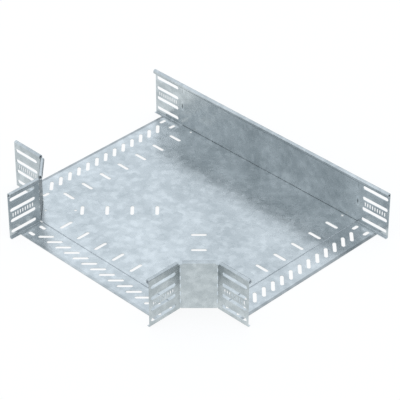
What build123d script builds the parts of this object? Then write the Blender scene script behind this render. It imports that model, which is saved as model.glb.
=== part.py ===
"""Cable tray tee: a folded floor plate, a back side and two mirror-image corner sides.

The model is drawn about the crossing of the two centre lines of the tray runs and is then moved so that
its origin is the middle of its underside. X follows the main run, the branch leaves toward -Y, +Z is up.
"""

import os
from math import cos, pi, radians, sin, sqrt, tan

from build123d import *

# Sheet and overall sizes, mm
sheet = 1.25                # thickness of every sheet
pitch = 25.0                # punching pitch that the patterns follow
width_over_sides = 396.0    # across a run, outer face to outer face
side_height = 108.0         # underside of the lip to the top of the rolled bead
side_end = 326.5            # from the centre lines to the free end of every flange

# Folds of the sides
bead_width = 8.2            # rolled bead along the top of each side
bead_height = 10.0          # the bead is a little taller than wide
bead_wrap = 300.0           # degrees that the bead is rolled round
lip_bend = 2.0              # outer radius of the bend between web and lip
lip_reach = 6.0             # narrow lip at the flanges, measured from the outer face
lip_under_floor = 15.0      # wide lip that carries the floor, measured from the outer face
corner_bend = 247.0         # from the centre lines to the vertical bends of a corner side
corner_bend_radius = 3.0    # inside radius of those bends
bead_cutback = 2.5          # bead left out beside each vertical bend
bead_notch = 5.5            # top of the bead to the top of the sheet at those bends

# Folds of the floor
step_setback = 0.3          # from the vertical bends back to where the floor steps down
step_run = 0.3              # length of that step
flange_overhang = 22.7      # flanges past the end of the floor
end_strip_gap = 0.75        # between the lowered end strip and the narrow lip

# Openings of the floor
slot_width = 7.5
slot_length = 32.0
end_facets = 4              # flats round the end of a slot that takes no stated bolt pattern
end_row_slant = -45.0       # degrees from the run's direction to the slots of an end strip
end_row_inset = 29.8        # end of the floor to the middle of those slots
floor_row_inset = 25.45     # step to the row of slots beside each end
short_slot_length = 16.5
short_slot_inset = 20.0     # outer face of a side to the short slots
short_slot_setback = 30.8   # end of the floor to the middle of a pair of short slots
short_slot_spread = 28.25
diagonal_start = 83.25      # from the crossing of the centre lines along a corner diagonal
diagonal_hole = 246.5
locating_hole = 6.0         # diameter of the small round holes
locating_hole_inset = 7.0   # from the inner face of a side
back_hole_spread = 428.75   # between the two holes beside the back side

# Openings of the sides
bolt_slot_width = 8.0       # long slots of the flanges and short slots of the floor
flange_slot_length = 64.0
flange_slot_land = 4.0      # free end of a flange to its long slots
flange_slot_low = 13.5      # lowest long slot above the underside
small_slot_width = 3.0
small_slot_height = 9.0
small_slots = 9
bend_slot_width = 3.0
bend_slot_height = 9.0
bend_slot_pitch = 18.0

# Worked out from the sizes above
half_width = width_over_sides / 2
bead_radius = bead_width / 2
bead_level = side_height - bead_radius
bead_underside = side_height - bead_height
bead_low_level = bead_underside + bead_radius
notch_level = side_height - bead_notch
inward_diagonal = Vector(-1, 1, 0).normalized()
half_bend = inward_diagonal.get_angle(Vector(-1, 0, 0)) / 2
tangent = corner_bend_radius * tan(radians(half_bend))
plate_width = (corner_bend - half_width) * sqrt(2)
plate_face = (corner_bend + half_width) / sqrt(2)
floor_top = 2 * sheet
floor_step = corner_bend - step_setback
strip_start = floor_step + step_run - sheet
floor_end = side_end - flange_overhang
floor_back = half_width - lip_bend
floor_corner = (plate_face - lip_bend) * sqrt(2) - floor_step
strip_half = half_width - lip_reach - end_strip_gap
floor_pitch = 2 * pitch
small_slot_pitch = pitch / 4
end_row = floor_end - end_row_inset
floor_row = floor_step - floor_row_inset
short_slot_side = half_width - short_slot_inset
end_row_reach = short_slot_side - (short_slot_length + slot_length) / 2
end_row_slots = 2 * int(end_row_reach / pitch) + 1
floor_row_slots = 2 * int((floor_back - pitch) / floor_pitch) + 1
diagonal_slots = int((diagonal_hole - diagonal_start) / floor_pitch) + 1
flange_slot_middle = side_end - flange_slot_land - flange_slot_length / 2
flange_slots = int((bead_underside - bolt_slot_width - flange_slot_low) / pitch) + 1
bend_slots = int(bead_underside / bend_slot_pitch)
cut_depth = 10.0            # cutters reach this far to both sides of a sheet
model_middle = Pos(0, (side_end - half_width) / 2, 0)


def plain_slot(length, width):
    """Slot whose round ends are a few flats each, which keeps a sheet of many slots light."""
    radius = width / 2
    half = length / 2 - radius
    points = []
    for side in (1, -1):
        for step in range(end_facets + 1):
            angle = pi * (step / end_facets - 0.5)
            points.append((side * (half + radius * cos(angle)), side * radius * sin(angle)))
    return make_face(Polyline(*points, close=True))


def side_section(lip):
    """Section of a side: X is inward from the outer face, Y is up."""
    high = Vector(bead_radius, bead_level)
    low = Vector(bead_radius, bead_low_level)
    foot = Vector(lip_bend, lip_bend)
    inner_bead = bead_radius - sheet
    inner_foot = lip_bend - sheet
    finish = 180 - bead_wrap
    tip = Vector(cos(radians(finish)), sin(radians(finish)))
    outline = [
        Line((lip, 0), (lip_bend, 0)),
        CenterArc(foot, lip_bend, 270, -90),
        Line((0, lip_bend), (0, bead_level)),
        CenterArc(high, bead_radius, 180, -180),
        Line((bead_width, bead_level), (bead_width, bead_low_level)),
        CenterArc(low, bead_radius, 0, finish),
        Line(low + tip * bead_radius, low + tip * inner_bead),
        CenterArc(low, inner_bead, finish, -finish),
        Line((bead_width - sheet, bead_low_level), (bead_width - sheet, bead_level)),
        CenterArc(high, inner_bead, 0, 180),
        Line((sheet, bead_level), (sheet, lip_bend)),
        CenterArc(foot, inner_foot, 180, 90),
        Line((lip_bend, sheet), (lip, sheet)),
        Line((lip, sheet), (lip, 0)),
    ]
    return make_face(outline)


def side_leg(start, inward, length, lip):
    """Straight stretch of a side whose outer face starts at a point; it runs to the right of inward."""
    along = inward.cross(Vector(0, 0, 1))
    return extrude(Plane(start, x_dir=inward, z_dir=along) * side_section(lip), length)


def flange_cuts(origin, inward, slot):
    """Cutters for the long slots and for the row of small upright ones between the second and third."""
    face = Plane(origin, x_dir=Vector(0, 0, 1).cross(inward), z_dir=inward)
    cuts = [Pos(flange_slot_middle, flange_slot_low + row * pitch) * slot for row in range(flange_slots)]
    small_level = flange_slot_low + 1.5 * pitch
    small_slot = Rectangle(small_slot_width, small_slot_height)
    for place in range(small_slots):
        offset = (place - (small_slots - 1) / 2) * small_slot_pitch
        cuts.append(Pos(flange_slot_middle + offset, small_level) * small_slot)
    return extrude(face * Sketch(children=cuts), cut_depth, both=True)


def lip_hole(origin, inward):
    """Cutter for a locating hole through the floor and the lip below it."""
    middle = origin + inward * (sheet + locating_hole_inset)
    return Pos(middle.X, middle.Y, 0) * Cylinder(locating_hole / 2, 2 * cut_depth)


def carrying_lip(origin, inward, length):
    """Wide lip under the floor, centred on a point of the outer face."""
    depth = lip_under_floor - lip_bend
    middle = origin + inward * (lip_bend + depth / 2)
    turn = Plane(Vector(middle.X, middle.Y, 0), x_dir=inward, z_dir=(0, 0, 1))
    return extrude(turn * Rectangle(depth, length), sheet)


def make_back_side():
    """Full-length side opposite the branch."""
    inward = Vector(0, -1, 0)
    face = Vector(0, half_width, 0)
    side = side_leg(Vector(side_end, half_width, 0), inward, 2 * side_end, lip_reach)
    side += carrying_lip(face, inward, 2 * (strip_start - end_strip_gap))
    cuts = flange_cuts(face, inward, SlotOverall(flange_slot_length, bolt_slot_width))
    side -= cuts
    side -= mirror(cuts, about=Plane.YZ)
    for place in (-1, 1):
        side -= lip_hole(Vector(place * back_hole_spread / 2, half_width, 0), inward)
    return side


def vertical_bend():
    """Web round the bend between branch flange and corner plate, with its row of small slots."""
    centre = Vector(half_width + corner_bend_radius, -corner_bend - tangent)
    outer = corner_bend_radius + sheet
    ring = Circle(outer) - Circle(corner_bend_radius)
    reach = 2 * outer
    wedge = make_face(Polyline((0, 0), (-reach, 0), (-reach, reach), close=True))
    web = Pos(centre.X, centre.Y, lip_bend) * extrude(ring & wedge, notch_level - lip_bend)
    middle_angle = radians(180 - half_bend)
    middle_radius = corner_bend_radius + sheet / 2
    middle = centre + Vector(cos(middle_angle), sin(middle_angle)) * middle_radius
    slot = Box(3 * sheet, bend_slot_width, bend_slot_height)
    for place in range(1, bend_slots + 1):
        web -= Pos(middle.X, middle.Y, place * bend_slot_pitch) * Rot(0, 0, -half_bend) * slot
    return web


def bead_gap(corner, along):
    """Cutter that leaves the bead out beside a vertical bend but keeps the web up to the notch."""
    level = bead_underside - sheet
    turn = Plane(Vector(corner.X, corner.Y, level), x_dir=along, z_dir=(0, 0, 1))
    gap = Rectangle(2 * (tangent + bead_cutback), 4 * bead_width)
    web = Rectangle(2 * (tangent + bead_cutback), 2 * sheet)
    return extrude(turn * gap, 2 * bead_height) - extrude(turn * web, notch_level - level)


def half_corner_side():
    """Branch flange, vertical bend and half of the corner plate of the right-hand corner."""
    vertex = Vector(half_width, -corner_bend, 0)
    plate_along = Vector(1, 1, 0).normalized()
    inward = Vector(-1, 0, 0)
    flange = side_leg(Vector(half_width, -side_end, 0), inward, side_end - corner_bend - tangent, lip_reach)
    slot = plain_slot(flange_slot_length, bolt_slot_width)
    flange -= flange_cuts(Vector(half_width, 0, 0), inward, slot)
    flange -= bead_gap(vertex, Vector(0, 1, 0))
    plate_length = plate_width / 2 - tangent
    plate = side_leg(vertex + plate_along * tangent, inward_diagonal, plate_length, lip_under_floor)
    plate -= bead_gap(vertex, plate_along)
    return flange + vertical_bend() + plate


def make_right_corner_side():
    """One folded sheet: branch flange, corner plate and run flange."""
    half = half_corner_side()
    middle = Plane((0, 0, 0), x_dir=(0, 0, 1), z_dir=(1, 1, 0))
    side = half + mirror(half, about=middle)
    return side - lip_hole(inward_diagonal * -plate_face, inward_diagonal)


def end_openings(turn):
    """Openings beside one open end: the slanted row, the straight row and the pairs of short slots."""
    long_slot = plain_slot(slot_length, slot_width)
    short_slot = Rot(0, 0, 90) * SlotOverall(short_slot_length, bolt_slot_width)
    openings = []
    for place in range(end_row_slots):
        offset = (place - (end_row_slots - 1) / 2) * pitch
        openings.append(Pos(end_row, offset) * Rot(0, 0, end_row_slant) * long_slot)
    for place in range(floor_row_slots):
        offset = (place - (floor_row_slots - 1) / 2) * floor_pitch
        openings.append(Pos(floor_row, offset) * long_slot)
    for side in (-1, 1):
        for spread in (-0.5, 0.5):
            distance = floor_end - short_slot_setback + spread * short_slot_spread
            openings.append(Pos(distance, side * short_slot_side) * short_slot)
    return [Rot(0, 0, turn) * opening for opening in openings]


def corner_openings(turn):
    """Openings along the diagonal toward one corner plate: crosswise slots and two round holes."""
    cross_slot = Rot(0, 0, 90) * plain_slot(slot_length, slot_width)
    openings = [Pos(diagonal_start + place * floor_pitch, 0) * cross_slot for place in range(diagonal_slots)]
    for distance in (diagonal_hole, plate_face - sheet - locating_hole_inset):
        openings.append(Pos(distance, 0) * Circle(locating_hole / 2))
    return [Rot(0, 0, turn) * opening for opening in openings]


def end_strip():
    """Right-hand end of the floor, one sheet lower; the steep step keeps about the sheet's thickness."""
    step_foot = floor_step + step_run
    outline = [
        (floor_step, floor_top),
        (step_foot, sheet),
        (floor_end, sheet),
        (floor_end, 0),
        (strip_start, 0),
        (floor_step - sheet, sheet),
        (floor_step - sheet, floor_top),
    ]
    return extrude(Plane.XZ * make_face(Polyline(*outline, close=True)), strip_half, both=True)


def make_floor_plate():
    """T-shaped floor with two cut corners and three lowered ends."""
    corners = [
        (-floor_step, floor_back),
        (floor_step, floor_back),
        (floor_step, -floor_corner),
        (floor_corner, -floor_step),
        (-floor_corner, -floor_step),
        (-floor_step, -floor_corner),
    ]
    middle = make_face(Polyline(*corners, close=True))
    floor = Pos(0, 0, sheet) * extrude(middle, sheet)
    openings = []
    for turn in (0, -90, 180):
        floor += Rot(0, 0, turn) * end_strip()
        openings += end_openings(turn)
    for turn in (-45, -135):
        openings += corner_openings(turn)
    for side in (-1, 1):
        back_hole = Pos(side * back_hole_spread / 2, half_width - sheet - locating_hole_inset)
        openings.append(back_hole * Circle(locating_hole / 2))
    return floor - extrude(Sketch(children=openings), cut_depth, both=True)


def write_part(name, shape):
    """Moves a finished piece to the model's origin and writes it."""
    export_step(model_middle * shape, f"parts/{name}.step")


def main():
    """Builds the four pieces."""
    os.makedirs("parts", exist_ok=True)
    right_corner = make_right_corner_side()
    write_part("floor_plate", make_floor_plate())
    write_part("back_side", make_back_side())
    write_part("right_corner_side", right_corner)
    write_part("left_corner_side", mirror(right_corner, about=Plane.YZ))


if __name__ == "__main__":
    main()
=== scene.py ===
"""Looks of a cable tray tee in galvanised sheet steel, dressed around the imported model.

Finishes hold their lengths in millimetres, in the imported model's frame: X along the main run,
-Y toward the branch, Z up. The studio's places and distances are in metres, as Blender's are.
"""

import logging
import math
from dataclasses import dataclass
from enum import Enum

import bpy
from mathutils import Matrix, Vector


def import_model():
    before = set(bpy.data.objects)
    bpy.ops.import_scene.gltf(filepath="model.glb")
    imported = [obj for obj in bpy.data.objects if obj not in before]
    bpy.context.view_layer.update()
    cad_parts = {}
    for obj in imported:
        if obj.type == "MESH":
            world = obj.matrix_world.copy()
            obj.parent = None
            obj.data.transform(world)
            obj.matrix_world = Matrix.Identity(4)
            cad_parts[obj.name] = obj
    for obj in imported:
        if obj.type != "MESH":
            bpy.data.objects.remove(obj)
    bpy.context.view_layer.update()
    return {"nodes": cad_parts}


LOG = logging.getLogger("cable_tray_tee")
MM = 0.001
COS_45 = 0.7071
WHITE = "#FFFFFF"

Tree = bpy.types.NodeTree
Socket = bpy.types.NodeSocket
Triple = tuple[float, float, float]
Face = tuple[Triple, float]

# Sockets of a Mix node by number, because the names of its inputs and outputs aren't unique.
MIX_NUMBER_A, MIX_NUMBER_B = 2, 3
MIX_COLOUR_A, MIX_COLOUR_B = 6, 7
MIX_COLOUR_OUT = 2

# Outer faces of the sides, each as its inward direction and its distance from the origin in mm.
BACK_FACES: tuple[Face, ...] = (((0.0, -1.0, 0.0), 262.25),)
CORNER_FACES: tuple[Face, ...] = (
    ((-1.0, 0.0, 0.0), 198.0),
    ((0.0, 1.0, 0.0), 133.75),
    ((-COS_45, COS_45, 0.0), 269.23),
)


def linear(hex_colour: str) -> tuple[float, float, float, float]:
    """Turns an sRGB hex colour into the linear values that a shader socket takes.

    Args:
        hex_colour: Colour such as "#C3D0D8".

    Returns:
        Linear red, green, blue and an alpha of one.
    """
    digits = hex_colour.lstrip("#")
    channels = [int(digits[place:place + 2], 16) / 255 for place in (0, 2, 4)]
    red, green, blue = (
        level / 12.92 if level <= 0.04045 else ((level + 0.055) / 1.055) ** 2.4
        for level in channels
    )
    return red, green, blue, 1.0


def add_node(
    tree: Tree,
    kind: str,
    inputs: dict[str | int, object] | None = None,
    **settings: object,
) -> bpy.types.Node:
    """Adds one shader node with its settings, and fills or links its inputs.

    Args:
        tree: Node tree that receives the node.
        kind: Blender's identifier of the node.
        inputs: Values or output sockets by input name or number.
        **settings: Attributes to set on the node.

    Returns:
        The new node.
    """
    node = tree.nodes.new(kind)
    for name, value in settings.items():
        setattr(node, name, value)
    for name, source in (inputs or {}).items():
        if isinstance(source, Socket):
            tree.links.new(source, node.inputs[name])
        else:
            node.inputs[name].default_value = source
    return node


def new_tree(holder: bpy.types.Material | bpy.types.World) -> Tree:
    """Switches the nodes of a material or world on and clears them.

    Args:
        holder: Material or world.

    Returns:
        Its empty node tree.
    """
    holder.use_nodes = True
    holder.node_tree.nodes.clear()
    return holder.node_tree


def way_out(tree: Tree, place: Socket) -> tuple[Socket, Socket]:
    """Finds how far out a spot of the floor lies.

    Args:
        tree: Tree of the material.
        place: Object coordinates.

    Returns:
        Outputs with the distance along the run, to either side, and the one along the branch.
    """
    spot = add_node(tree, "ShaderNodeSeparateXYZ", {"Vector": place})
    across = add_node(tree, "ShaderNodeMath", {0: spot.outputs["X"]}, operation="ABSOLUTE")
    forward = add_node(
        tree, "ShaderNodeMath", {0: spot.outputs["Y"], 1: -1.0}, operation="MULTIPLY"
    )
    return across.outputs["Value"], forward.outputs["Value"]


class Sheet(Enum):
    """The four folded sheets of the tee, by the name of their node."""

    FLOOR = "floor_plate"
    BACK = "back_side"
    RIGHT_CORNER = "right_corner_side"
    LEFT_CORNER = "left_corner_side"


@dataclass(frozen=True)
class BeadHollow:
    """The hollow of a rolled bead, where the zinc stayed matt and light gets in only at the ends.

    Of several outer faces, the one that a spot lies deepest behind counts, because the corner of
    run and branch points into the tee.
    """

    faces: tuple[Face, ...]
    axis_offset: float = 4.1
    axis_level: float = 103.0
    axis_half_height: float = 0.9
    hollow_radius: float = 2.95

    def mask(self, tree: Tree, place: Socket) -> Socket:
        """Finds the hollow.

        Args:
            tree: Tree of the material.
            place: Object coordinates.

        Returns:
            Output that is one on the walls of the hollow and zero elsewhere.
        """
        depth = self._depth(tree, place)
        sideways = add_node(
            tree, "ShaderNodeMath", {0: depth, 1: self.axis_offset * MM}, operation="SUBTRACT"
        )
        spot = add_node(tree, "ShaderNodeSeparateXYZ", {"Vector": place})
        raised = add_node(
            tree,
            "ShaderNodeMath",
            {0: spot.outputs["Z"], 1: self.axis_level * MM},
            operation="SUBTRACT",
        )
        height = add_node(
            tree, "ShaderNodeMath", {0: raised.outputs["Value"]}, operation="ABSOLUTE"
        )
        beyond = add_node(
            tree,
            "ShaderNodeMath",
            {0: height.outputs["Value"], 1: self.axis_half_height * MM},
            operation="SUBTRACT",
        )
        above = add_node(
            tree, "ShaderNodeMath", {0: beyond.outputs["Value"], 1: 0.0}, operation="MAXIMUM"
        )
        from_axis = add_node(
            tree,
            "ShaderNodeCombineXYZ",
            {"X": sideways.outputs["Value"], "Y": above.outputs["Value"]},
        )
        reach = add_node(
            tree, "ShaderNodeVectorMath", {0: from_axis.outputs["Vector"]}, operation="LENGTH"
        )
        return add_node(
            tree,
            "ShaderNodeMath",
            {0: reach.outputs["Value"], 1: self.hollow_radius * MM},
            operation="LESS_THAN",
        ).outputs["Value"]

    def _depth(self, tree: Tree, place: Socket) -> Socket:
        """Measures how deep a spot lies behind the outer faces, on either half of the tee.

        Args:
            tree: Tree of the material.
            place: Object coordinates.

        Returns:
            Output with the depth in metres.
        """
        folded = add_node(tree, "ShaderNodeVectorMath", {0: place}, operation="ABSOLUTE")
        across = add_node(tree, "ShaderNodeSeparateXYZ", {"Vector": folded.outputs["Vector"]})
        along = add_node(tree, "ShaderNodeSeparateXYZ", {"Vector": place})
        right_half = add_node(
            tree, "ShaderNodeCombineXYZ", {"X": across.outputs["X"], "Y": along.outputs["Y"]}
        )
        depth: Socket | None = None
        for inward, distance in self.faces:
            shadow = add_node(
                tree,
                "ShaderNodeVectorMath",
                {0: right_half.outputs["Vector"], 1: inward},
                operation="DOT_PRODUCT",
            )
            inside = add_node(
                tree,
                "ShaderNodeMath",
                {0: shadow.outputs["Value"], 1: distance * MM},
                operation="ADD",
            ).outputs["Value"]
            depth = inside if depth is None else add_node(
                tree, "ShaderNodeMath", {0: inside, 1: depth}, operation="MAXIMUM"
            ).outputs["Value"]
        return depth


@dataclass(frozen=True)
class StepFold:
    """The steep step down to each lowered end of the floor, half matt where the die rubbed it."""

    run_step: float = 246.85
    branch_step: float = 182.6
    half_width: float = 0.45
    strength: float = 0.6

    def mask(self, tree: Tree, place: Socket) -> Socket:
        """Finds the steps.

        Args:
            tree: Tree of the material.
            place: Object coordinates.

        Returns:
            Output that is above zero on the steps and zero elsewhere.
        """
        near = []
        for way, step in zip(way_out(tree, place), (self.run_step, self.branch_step)):
            apart = add_node(tree, "ShaderNodeMath", {0: way, 1: step * MM}, operation="SUBTRACT")
            reach = add_node(
                tree, "ShaderNodeMath", {0: apart.outputs["Value"]}, operation="ABSOLUTE"
            )
            on_step = add_node(
                tree,
                "ShaderNodeMath",
                {0: reach.outputs["Value"], 1: self.half_width * MM},
                operation="LESS_THAN",
            )
            near.append(on_step.outputs["Value"])
        either = add_node(tree, "ShaderNodeMath", {0: near[0], 1: near[1]}, operation="MAXIMUM")
        return add_node(
            tree,
            "ShaderNodeMath",
            {0: either.outputs["Value"], 1: self.strength},
            operation="MULTIPLY",
        ).outputs["Value"]


@dataclass(frozen=True)
class CutEnds:
    """Narrow darker bands along the open ends of the floor."""

    run_end: float = 303.8
    branch_end: float = 239.55
    width: float = 6.0
    softness: float = 0.6
    run_share: float = 0.66
    branch_share: float = 0.88

    def share(self, tree: Tree, place: Socket) -> Socket:
        """Finds how much of the zinc's colour stays.

        Args:
            tree: Tree of the material.
            place: Object coordinates.

        Returns:
            Output that is one away from the ends and lower beside them.
        """
        ends = ((self.run_end, self.run_share), (self.branch_end, self.branch_share))
        shares = [
            add_node(
                tree,
                "ShaderNodeMapRange",
                {
                    "Value": way,
                    "From Min": (end - self.width - self.softness) * MM,
                    "From Max": (end - self.width + self.softness) * MM,
                    "To Min": 1.0,
                    "To Max": kept,
                },
            ).outputs["Result"]
            for way, (end, kept) in zip(way_out(tree, place), ends)
        ]
        return add_node(
            tree, "ShaderNodeMath", {0: shares[0], 1: shares[1]}, operation="MINIMUM"
        ).outputs["Value"]


@dataclass(frozen=True)
class PressMarkPaintedLight:
    """Marks of the press on the back side's web, two beside each flange: a slit of painted shade in
    arcs of painted highlight.
    """

    out: float = 246.0
    middle_level: float = 69.0
    half_spacing: float = 19.0
    slit_half_width: float = 1.6
    slit_softness: float = 0.4
    slit_slimness: float = 2.8
    # Share of the colour kept in the slit: painted shade of the pressed relief.
    slit_shade_share: float = 0.42
    arc_out: float = 4.0
    arc_half_width: float = 1.6
    arc_slimness: float = 2.4
    # Above one: the arcs are brightened as painted highlight of the pressed relief.
    arc_highlight_share: float = 1.25
    upper_strength: float = 0.35
    strength_blend: float = 5.0

    def share(self, tree: Tree, place: Socket) -> Socket:
        """Finds how much of the zinc's colour stays.

        Args:
            tree: Tree of the material.
            place: Object coordinates.

        Returns:
            Output that is one away from the marks, lower in the slits as painted shade and higher
            on the arcs as painted highlight.
        """
        centred = add_node(
            tree,
            "ShaderNodeVectorMath",
            {0: place, 1: (0.0, 0.0, self.middle_level * MM)},
            operation="SUBTRACT",
        ).outputs["Vector"]
        folded = add_node(tree, "ShaderNodeVectorMath", {0: centred}, operation="ABSOLUTE")
        beside = add_node(
            tree,
            "ShaderNodeVectorMath",
            {0: folded.outputs["Vector"], 1: (self.out * MM, 0.0, self.half_spacing * MM)},
            operation="SUBTRACT",
        )
        reaches = []
        for slimness in (self.slit_slimness, self.arc_slimness):
            squeezed = add_node(
                tree,
                "ShaderNodeVectorMath",
                {0: beside.outputs["Vector"], 1: (1.0, 0.0, 1.0 / slimness)},
                operation="MULTIPLY",
            )
            reach = add_node(
                tree, "ShaderNodeVectorMath", {0: squeezed.outputs["Vector"]}, operation="LENGTH"
            )
            reaches.append(reach.outputs["Value"])
        from_slit, from_middle = reaches
        slit = add_node(
            tree,
            "ShaderNodeMapRange",
            {
                "Value": from_slit,
                "From Min": (1 - self.slit_softness) * self.slit_half_width * MM,
                "From Max": (1 + self.slit_softness) * self.slit_half_width * MM,
                "To Min": self.slit_shade_share,
                "To Max": 1.0,
            },
        )
        apart = add_node(
            tree, "ShaderNodeMath", {0: from_middle, 1: self.arc_out * MM}, operation="SUBTRACT"
        )
        near_arc = add_node(
            tree, "ShaderNodeMath", {0: apart.outputs["Value"]}, operation="ABSOLUTE"
        )
        arc = add_node(
            tree,
            "ShaderNodeMapRange",
            {
                "Value": near_arc.outputs["Value"],
                "From Min": 0.0,
                "From Max": self.arc_half_width * MM,
                "To Min": self.arc_highlight_share,
                "To Max": 1.0,
            },
        )
        # The slit's painted shade and the arcs' painted highlight together.
        mark = add_node(
            tree,
            "ShaderNodeMath",
            {0: slit.outputs["Result"], 1: arc.outputs["Result"]},
            operation="MULTIPLY",
        )
        height = add_node(tree, "ShaderNodeSeparateXYZ", {"Vector": centred})
        strength = add_node(
            tree,
            "ShaderNodeMapRange",
            {
                "Value": height.outputs["Z"],
                "From Min": -self.strength_blend * MM,
                "From Max": self.strength_blend * MM,
                "To Min": 1.0,
                "To Max": self.upper_strength,
            },
        )
        return add_node(
            tree,
            "ShaderNodeMix",
            {
                "Factor": strength.outputs["Result"],
                MIX_NUMBER_A: 1.0,
                MIX_NUMBER_B: mark.outputs["Value"],
            },
            data_type="FLOAT",
        ).outputs["Result"]


@dataclass(frozen=True)
class GalvanisedSteel:
    """Hot-dip galvanised steel sheet: a satin gloss over soft pale and dull patches of crystals.

    The edge tint is below white because old zinc doesn't brighten at a glancing angle, so its bends
    and beads have a dark far side.
    """

    name: str
    # Where on the coil the sheet was cut, in metres, which sets where its crystals lie.
    cut_from: Triple
    pale_zinc: str = "#D6DADB"
    dull_zinc: str = "#ABB1B3"
    edge_tint: str = "#B4B4B4"
    matt_zinc: str = "#C9CED1"
    matt_roughness: float = 0.9
    roughness: float = 0.265
    roughness_spread: float = 0.08
    # Crystals with ragged outlines, 5 to 20 mm across on such sheet. Their faint relief is drawn
    # deeper than the real one, so that it shows.
    flake_size: float = 12.0
    flake_edge_detail: float = 3.0
    flake_edge_roughness: float = 0.6
    flake_relief: float = 0.08
    flake_relief_strength: float = 0.15
    # Specks in the crystals, drawn coarser than the real 1 to 2 mm, so that they show.
    speck_size: float = 4.5
    speck_share: float = 0.25
    # Blotches where neighbouring crystals froze alike.
    blotch_size: float = 18.0
    blotch_detail: float = 5.0
    blotch_range: tuple[float, float] = (0.45, 0.64)
    blotch_share: float = 0.45
    # Clouds where the sheet cooled at another pace.
    cloud_size: float = 90.0
    cloud_detail: float = 2.0
    cloud_range: tuple[float, float] = (0.3, 0.7)
    cloud_share: float = 0.37
    patch_roughness: float = 0.5
    # Waves from rolling, drawn deeper than the real ones, so that they show.
    wave_size: float = 45.0
    wave_detail: float = 1.0
    wave_roughness: float = 0.4
    wave_height: float = 1.2
    wave_strength: float = 0.24
    # Darker bands at the cut ends, or the press marks' painted shade and painted highlight.
    marks: CutEnds | PressMarkPaintedLight | None = None
    matt: BeadHollow | StepFold | None = None

    def material(self) -> bpy.types.Material:
        """Builds the node material.

        Returns:
            The finished material.
        """
        material = bpy.data.materials.new(self.name)
        tree = new_tree(material)
        place = add_node(tree, "ShaderNodeTexCoord").outputs["Object"]
        coil = add_node(
            tree, "ShaderNodeVectorMath", {0: place, 1: self.cut_from}, operation="ADD"
        ).outputs["Vector"]
        flakes = self._flakes(tree, coil)
        gloss = add_node(
            tree,
            "ShaderNodeMapRange",
            {
                "Value": flakes,
                "To Min": self.roughness - self.roughness_spread / 2,
                "To Max": self.roughness + self.roughness_spread / 2,
            },
        )
        shader = add_node(
            tree,
            "ShaderNodeBsdfPrincipled",
            {
                "Base Color": self._with_marks_and_painted_light(tree, place, self._colour(tree, coil, flakes)),
                "Metallic": 1.0,
                "Roughness": gloss.outputs["Result"],
                "Specular Tint": linear(self.edge_tint),
                "Normal": self._unevenness(tree, coil, flakes),
            },
        )
        if self.matt is not None:
            self._take_off_gloss(tree, self.matt.mask(tree, place), shader)
        add_node(tree, "ShaderNodeOutputMaterial", {"Surface": shader.outputs["BSDF"]})
        return material

    def _take_off_gloss(self, tree: Tree, matt: Socket, shader: bpy.types.Node) -> None:
        """Takes the gloss off the zinc where it stayed matt.

        Args:
            tree: Tree of the material.
            matt: How matt the zinc is, from zero to one.
            shader: Shader of the sheet.
        """
        bright = shader.inputs["Base Color"].links[0].from_socket
        gloss = shader.inputs["Roughness"].links[0].from_socket
        colour = add_node(
            tree,
            "ShaderNodeMix",
            {"Factor": matt, MIX_COLOUR_A: bright, MIX_COLOUR_B: linear(self.matt_zinc)},
            data_type="RGBA",
        )
        rough = add_node(
            tree,
            "ShaderNodeMix",
            {"Factor": matt, MIX_NUMBER_A: gloss, MIX_NUMBER_B: self.matt_roughness},
            data_type="FLOAT",
        )
        metal = add_node(tree, "ShaderNodeMath", {0: 1.0, 1: matt}, operation="SUBTRACT")
        tree.links.new(colour.outputs[MIX_COLOUR_OUT], shader.inputs["Base Color"])
        tree.links.new(rough.outputs["Result"], shader.inputs["Roughness"])
        tree.links.new(metal.outputs["Value"], shader.inputs["Metallic"])

    def _flakes(self, tree: Tree, coil: Socket) -> Socket:
        """Gives each zinc crystal, with its ragged outline, a value between zero and one.

        Args:
            tree: Tree of the material.
            coil: Coordinates on the coil.

        Returns:
            Output with a value per crystal.
        """
        ragged = add_node(
            tree,
            "ShaderNodeTexNoise",
            {
                "Vector": coil,
                "Scale": 1 / (self.flake_size * MM),
                "Detail": self.flake_edge_detail,
                "Roughness": self.flake_edge_roughness,
            },
        )
        centred = add_node(
            tree,
            "ShaderNodeVectorMath",
            {0: ragged.outputs["Color"], 1: (0.5, 0.5, 0.5)},
            operation="SUBTRACT",
        )
        shift = add_node(
            tree,
            "ShaderNodeVectorMath",
            {0: centred.outputs["Vector"], "Scale": self.flake_size * MM},
            operation="SCALE",
        )
        bent = add_node(
            tree, "ShaderNodeVectorMath", {0: coil, 1: shift.outputs["Vector"]}, operation="ADD"
        )
        tones = []
        for size in (self.flake_size, self.speck_size):
            cells = add_node(
                tree,
                "ShaderNodeTexVoronoi",
                {"Vector": bent.outputs["Vector"], "Scale": 1 / (size * MM)},
            )
            tone = add_node(tree, "ShaderNodeSeparateColor", {"Color": cells.outputs["Color"]})
            tones.append(tone.outputs["Red"])
        return add_node(
            tree,
            "ShaderNodeMix",
            {"Factor": self.speck_share, MIX_NUMBER_A: tones[0], MIX_NUMBER_B: tones[1]},
            data_type="FLOAT",
        ).outputs["Result"]

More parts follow.
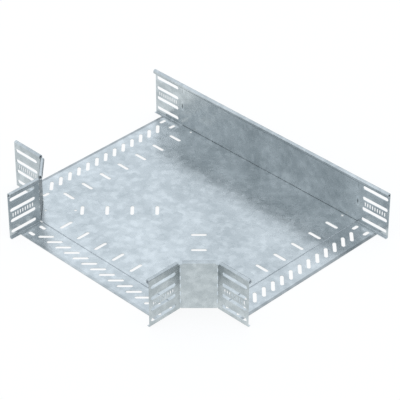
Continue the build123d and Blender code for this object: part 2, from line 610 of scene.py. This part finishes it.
    def _colour(self, tree: Tree, coil: Socket, flakes: Socket) -> Socket:
        """Colours the crystals, with pale blotches and soft clouds over them.

        Args:
            tree: Tree of the material.
            coil: Coordinates on the coil.
            flakes: Value per crystal.

        Returns:
            Output with the colour.
        """
        tone = flakes
        for size, detail, (low, high), share in (
            (self.blotch_size, self.blotch_detail, self.blotch_range, self.blotch_share),
            (self.cloud_size, self.cloud_detail, self.cloud_range, self.cloud_share),
        ):
            patches = add_node(
                tree,
                "ShaderNodeTexNoise",
                {
                    "Vector": coil,
                    "Scale": 1 / (size * MM),
                    "Detail": detail,
                    "Roughness": self.patch_roughness,
                },
            )
            soft = add_node(
                tree,
                "ShaderNodeMapRange",
                {"Value": patches.outputs["Fac"], "From Min": low, "From Max": high},
                interpolation_type="SMOOTHSTEP",
            )
            tone = add_node(
                tree,
                "ShaderNodeMix",
                {"Factor": share, MIX_NUMBER_A: tone, MIX_NUMBER_B: soft.outputs["Result"]},
                data_type="FLOAT",
            ).outputs["Result"]
        return add_node(
            tree,
            "ShaderNodeMix",
            {
                "Factor": tone,
                MIX_COLOUR_A: linear(self.dull_zinc),
                MIX_COLOUR_B: linear(self.pale_zinc),
            },
            data_type="RGBA",
        ).outputs[MIX_COLOUR_OUT]

    def _with_marks_and_painted_light(self, tree: Tree, place: Socket, zinc: Socket) -> Socket:
        """Lays marks over the zinc: darker bands at the cut ends, or press marks as painted shade
        and highlight.

        Args:
            tree: Tree of the material.
            place: Object coordinates.
            zinc: Colour of the zinc.

        Returns:
            Output with the marked colour.
        """
        if self.marks is None:
            return zinc
        kept = self.marks.share(tree, place)
        return add_node(
            tree, "ShaderNodeVectorMath", {0: zinc, "Scale": kept}, operation="SCALE"
        ).outputs["Vector"]

    def _unevenness(self, tree: Tree, coil: Socket, flakes: Socket) -> Socket:
        """Lets the sheet wave a little, as thin rolled sheet does, with a faint relief of crystals.

        Args:
            tree: Tree of the material.
            coil: Coordinates on the coil.
            flakes: Value per crystal.

        Returns:
            Output with the normal.
        """
        waves = add_node(
            tree,
            "ShaderNodeTexNoise",
            {
                "Vector": coil,
                "Scale": 1 / (self.wave_size * MM),
                "Detail": self.wave_detail,
                "Roughness": self.wave_roughness,
            },
        )
        sheet = add_node(
            tree,
            "ShaderNodeBump",
            {
                "Height": waves.outputs["Fac"],
                "Strength": self.wave_strength,
                "Distance": self.wave_height * MM,
            },
        )
        return add_node(
            tree,
            "ShaderNodeBump",
            {
                "Height": flakes,
                "Normal": sheet.outputs["Normal"],
                "Strength": self.flake_relief_strength,
                "Distance": self.flake_relief * MM,
            },
        ).outputs["Normal"]


@dataclass
class FoldedSheet:
    """One sheet of the tee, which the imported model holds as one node."""

    sheet: Sheet
    finish: GalvanisedSteel

    def dress(self, nodes: dict[str, bpy.types.Object]) -> None:
        """Gives the node its finish.

        Args:
            nodes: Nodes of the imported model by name.
        """
        piece = nodes[self.sheet.value]
        piece.data.materials.clear()
        piece.data.materials.append(self.finish.material())


@dataclass
class Studio:
    """White surroundings, light from all round and the camera of the photograph.

    A direction's lean is how far it points to the bright side, from -1 to 1, and its rise is how
    far it points up, from 0 at the horizon to 1 overhead. The zinc mirrors these differences.
    """

    azimuth: float = 44.99
    elevation: float = 35.03
    distance: float = 4.06605
    look_at: Triple = (-0.02364, 0.09096, 0.0025)
    # Focal length and sensor width are in millimetres.
    focal_length: float = 181.74
    sensor: float = 36.0
    view_depth: float = 4.0
    sky: str = "#EFF7FF"
    sky_level: float = 1.24
    sky_slope: float = 0.04
    bright_side: Triple = (COS_45, COS_45, 0.0)
    window_lean: float = -0.12
    window_half_width: float = 0.24
    window_level: float = 0.17
    ceiling_rise: float = 0.6
    ceiling_share: float = 0.84
    dark_wall_lean: tuple[float, float] = (0.2, 0.75)
    dark_wall_rise: tuple[float, float] = (0.55, 0.25)
    dark_wall_share: float = 0.36
    mirrored_ground: str = "#F7FDFF"
    mirrored_level: float = 1.05
    ground_reach: float = 3.0
    ground_corners: int = 96
    ground_drop: float = 0.0004
    shadow_share: float = 0.15

    def build(self) -> None:
        """Adds the light, the ground and the camera."""
        self._light()
        self._ground()
        self._camera()

    def _light(self) -> None:
        """Lights the scene from all round, and shows plain white to the camera.

        Rays through clear things see the white too. Mirror rays see the lit room, so the zinc shows
        pale surroundings.
        """
        world = bpy.data.worlds.new("white_studio")
        bpy.context.scene.world = world
        tree = new_tree(world)
        path = add_node(tree, "ShaderNodeLightPath")
        lit = add_node(
            tree,
            "ShaderNodeBackground",
            {"Color": linear(self.sky), "Strength": self._sky(tree)},
        )
        white = add_node(tree, "ShaderNodeBackground", {"Color": linear(WHITE), "Strength": 1.0})
        direct = add_node(
            tree,
            "ShaderNodeMath",
            {0: path.outputs["Is Camera Ray"], 1: path.outputs["Is Transmission Ray"]},
            operation="MAXIMUM",
        )
        seen = add_node(
            tree,
            "ShaderNodeMixShader",
            {
                0: direct.outputs["Value"],
                1: lit.outputs["Background"],
                2: white.outputs["Background"],
            },
        )
        add_node(tree, "ShaderNodeOutputWorld", {"Surface": seen.outputs["Shader"]})

    def _sky(self, tree: Tree) -> Socket:
        """Shapes the room's light: a bright side, a soft window, a ceiling and a dark low wall.

        Args:
            tree: Tree of the world.

        Returns:
            Output with the strength of the light by direction.
        """
        way = add_node(tree, "ShaderNodeTexCoord").outputs["Generated"]
        lean = add_node(
            tree, "ShaderNodeVectorMath", {0: way, 1: self.bright_side}, operation="DOT_PRODUCT"
        ).outputs["Value"]
        rise = add_node(tree, "ShaderNodeSeparateXYZ", {"Vector": way}).outputs["Z"]
        even = add_node(
            tree,
            "ShaderNodeMapRange",
            {
                "Value": lean,
                "From Min": -1.0,
                "From Max": 1.0,
                "To Min": self.sky_level - self.sky_slope,
                "To Max": self.sky_level + self.sky_slope,
            },
        )
        aside = add_node(
            tree, "ShaderNodeMath", {0: lean, 1: self.window_lean}, operation="SUBTRACT"
        )
        apart = add_node(tree, "ShaderNodeMath", {0: aside.outputs["Value"]}, operation="ABSOLUTE")
        window = add_node(
            tree,
            "ShaderNodeMapRange",
            {
                "Value": apart.outputs["Value"],
                "From Min": 0.0,
                "From Max": self.window_half_width,
                "To Min": self.window_level,
                "To Max": 0.0,
            },
            interpolation_type="SMOOTHSTEP",
        )
        walls = add_node(
            tree,
            "ShaderNodeMath",
            {0: even.outputs["Result"], 1: window.outputs["Result"]},
            operation="ADD",
        )
        ceiling = add_node(
            tree,
            "ShaderNodeMapRange",
            {
                "Value": rise,
                "From Min": self.ceiling_rise,
                "From Max": 1.0,
                "To Min": 1.0,
                "To Max": self.ceiling_share,
            },
        )
        shades = [
            add_node(
                tree, "ShaderNodeMapRange", {"Value": value, "From Min": none, "From Max": full}
            ).outputs["Result"]
            for value, (none, full) in ((lean, self.dark_wall_lean), (rise, self.dark_wall_rise))
        ]
        shade = add_node(
            tree, "ShaderNodeMath", {0: shades[0], 1: shades[1]}, operation="MULTIPLY"
        )
        kept = add_node(
            tree,
            "ShaderNodeMapRange",
            {"Value": shade.outputs["Value"], "To Min": 1.0, "To Max": self.dark_wall_share},
        )
        room = add_node(
            tree,
            "ShaderNodeMath",
            {0: walls.outputs["Value"], 1: ceiling.outputs["Result"]},
            operation="MULTIPLY",
        )
        return add_node(
            tree,
            "ShaderNodeMath",
            {0: room.outputs["Value"], 1: kept.outputs["Result"]},
            operation="MULTIPLY",
        ).outputs["Value"]

    def _ground(self) -> None:
        """Adds the ground: matt white paper, evenly white to the eye but for a faint shadow."""
        bpy.ops.object.select_all(action="DESELECT")
        bpy.ops.mesh.primitive_circle_add(
            vertices=self.ground_corners,
            radius=self.ground_reach,
            fill_type="NGON",
            location=(0, 0, -self.ground_drop),
        )
        ground = bpy.context.object
        ground.name = "pale_floor"
        material = bpy.data.materials.new("white_paper_floor")
        tree = new_tree(material)
        path = add_node(tree, "ShaderNodeLightPath")
        mirror_or_clear = add_node(
            tree,
            "ShaderNodeMath",
            {0: path.outputs["Is Glossy Ray"], 1: path.outputs["Is Transmission Ray"]},
            operation="MAXIMUM",
        )
        direct = add_node(
            tree,
            "ShaderNodeMath",
            {0: path.outputs["Is Camera Ray"], 1: mirror_or_clear.outputs["Value"]},
            operation="MAXIMUM",
        )
        share = add_node(
            tree,
            "ShaderNodeMath",
            {0: direct.outputs["Value"], 1: 1 - self.shadow_share},
            operation="MULTIPLY",
        )
        matt = add_node(tree, "ShaderNodeBsdfDiffuse", {"Color": linear(WHITE)})
        white = add_node(tree, "ShaderNodeEmission", {"Color": linear(WHITE), "Strength": 1.0})
        mirrored = add_node(
            tree,
            "ShaderNodeEmission",
            {"Color": linear(self.mirrored_ground), "Strength": self.mirrored_level},
        )
        glow = add_node(
            tree,
            "ShaderNodeMixShader",
            {
                0: path.outputs["Is Glossy Ray"],
                1: white.outputs["Emission"],
                2: mirrored.outputs["Emission"],
            },
        )
        surface = add_node(
            tree,
            "ShaderNodeMixShader",
            {0: share.outputs["Value"], 1: matt.outputs["BSDF"], 2: glow.outputs["Shader"]},
        )
        add_node(tree, "ShaderNodeOutputMaterial", {"Surface": surface.outputs["Shader"]})
        ground.data.materials.append(material)

    def _camera(self) -> None:
        """Places the camera at the photograph's angle and distance."""
        around = math.radians(self.azimuth)
        up = math.radians(self.elevation)
        back = Vector(
            (math.sin(around) * math.cos(up), -math.cos(around) * math.cos(up), math.sin(up))
        )
        data = bpy.data.cameras.new("photo_camera")
        data.lens = self.focal_length
        data.sensor_fit = "HORIZONTAL"
        data.sensor_width = self.sensor
        data.clip_end = self.view_depth * self.distance
        camera = bpy.data.objects.new("photo_camera", data)
        bpy.context.scene.collection.objects.link(camera)
        camera.location = Vector(self.look_at) + back * self.distance
        camera.rotation_euler = back.to_track_quat("Z", "Y").to_euler()
        bpy.context.scene.camera = camera


def folded_sheets() -> tuple[FoldedSheet, ...]:
    """Lists the sheets of the tee with their finishes.

    Returns:
        Floor, back side and the two corner sides.
    """
    corner_hollow = BeadHollow(CORNER_FACES)
    # Punched sheet: an even satin grey, darker in narrow bands at the cut ends, with paler steps.
    floor = GalvanisedSteel(
        "galvanised_floor_sheet",
        cut_from=(5.55, 16.95, 10.65),
        marks=CutEnds(),
        matt=StepFold(),
    )
    # Folded sheet: the same grey in pale and dull clouds, with press marks in painted shade and
    # highlight, and a dark bead mouth.
    back = GalvanisedSteel(
        "galvanised_back_sheet",
        cut_from=(2.22, 6.78, 4.26),
        marks=PressMarkPaintedLight(),
        matt=BeadHollow(BACK_FACES),
    )
    # Folded sheets: each bend takes another part of the room's light, and the bead mouths are dark.
    right_corner = GalvanisedSteel(
        "galvanised_right_corner_sheet", cut_from=(5.55, 16.95, 10.65), matt=corner_hollow
    )
    left_corner = GalvanisedSteel(
        "galvanised_left_corner_sheet", cut_from=(7.03, 21.47, 13.49), matt=corner_hollow
    )
    return (
        FoldedSheet(Sheet.FLOOR, floor),
        FoldedSheet(Sheet.BACK, back),
        FoldedSheet(Sheet.RIGHT_CORNER, right_corner),
        FoldedSheet(Sheet.LEFT_CORNER, left_corner),
    )


def main() -> None:
    """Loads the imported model, dresses its sheets and sets up the studio."""
    logging.basicConfig(level=logging.INFO, format="%(message)s")
    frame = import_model()
    for folded_sheet in folded_sheets():
        folded_sheet.dress(frame["nodes"])
        LOG.info("dressed %s in %s", folded_sheet.sheet.value, folded_sheet.finish.name)
    Studio().build()
    LOG.info("set up the studio")
    bpy.context.scene.view_settings.view_transform = "Standard"


if __name__ == "__main__":
    main()
